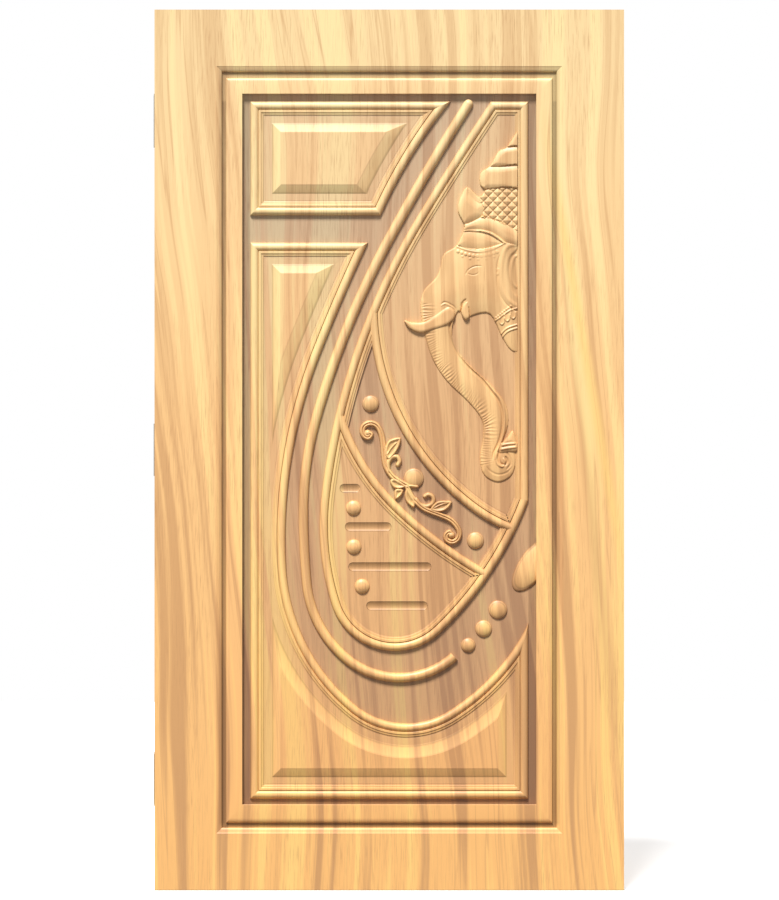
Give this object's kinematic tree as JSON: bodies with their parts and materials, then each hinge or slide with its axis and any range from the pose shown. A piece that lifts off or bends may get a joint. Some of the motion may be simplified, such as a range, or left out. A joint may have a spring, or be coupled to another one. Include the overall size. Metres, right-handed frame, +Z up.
{
  "type": "carved wooden door leaf",
  "caption": "Carved wooden door leaf with raised panels, curved mouldings, a figure in low relief and butt hinges.",
  "frame": {"origin": "middle of the leaf's bottom edge, at mid-thickness", "axes": "+Z up, +X towards the meeting stile, -Y out of the carved face"},
  "size_m": [1.1253, 0.0535, 2.1],
  "materials": {
    "carved_wood": "clear-finished light teak with a straight grain, upright on every piece",
    "hinge_metal": "satin stainless steel"
  },
  "bodies": {
    "jamb_side": {"bottom_hinge_jamb_plate": "hinge_metal", "bottom_hinge_pin": "hinge_metal", "middle_hinge_jamb_plate": "hinge_metal", "middle_hinge_pin": "hinge_metal", "top_hinge_jamb_plate": "hinge_metal", "top_hinge_pin": "hinge_metal"},
    "leaf": {"almond_boss": "carved_wood", "border_bottom": "carved_wood", "border_left": "carved_wood", "border_right": "carved_wood", "border_top": "carved_wood", "bottom_hinge_leaf_plate": "hinge_metal", "bottom_rail": "carved_wood", "egg_moulding_curve": "carved_wood", "egg_moulding_right": "carved_wood", "egg_moulding_top": "carved_wood", "field_board": "carved_wood", "figure_ground": "carved_wood", "figure_relief": "carved_wood", "hinge_screws": "hinge_metal", "hinge_stile": "carved_wood", "long_rod": "carved_wood", "lower_cross_moulding": "carved_wood", "lower_moulding_bottom": "carved_wood", "lower_moulding_curve": "carved_wood", "lower_moulding_left": "carved_wood", "lower_moulding_right": "carved_wood", "lower_moulding_top": "carved_wood", "lower_raised_panel": "carved_wood", "meeting_stile": "carved_wood", "middle_hinge_leaf_plate": "hinge_metal", "round_boss_1": "carved_wood", "round_boss_2": "carved_wood", "round_boss_3": "carved_wood", "round_boss_4": "carved_wood", "round_boss_5": "carved_wood", "round_boss_6": "carved_wood", "round_boss_7": "carved_wood", "round_boss_8": "carved_wood", "round_boss_9": "carved_wood", "scroll_ornament": "carved_wood", "slot_ground": "carved_wood", "top_hinge_leaf_plate": "hinge_metal", "top_rail": "carved_wood", "upper_cross_moulding": "carved_wood", "upper_moulding_bottom": "carved_wood", "upper_moulding_curve": "carved_wood", "upper_moulding_left": "carved_wood", "upper_moulding_top": "carved_wood", "upper_raised_panel": "carved_wood"}
  },
  "joints": [
    {"name": "leaf_swing", "type": "hinge", "parent": "jamb_side", "child": "leaf", "pos_m": [-0.55885, 0.027, 0], "axis": [0, 0, 1], "range_deg": [0, 180]}
  ]
}
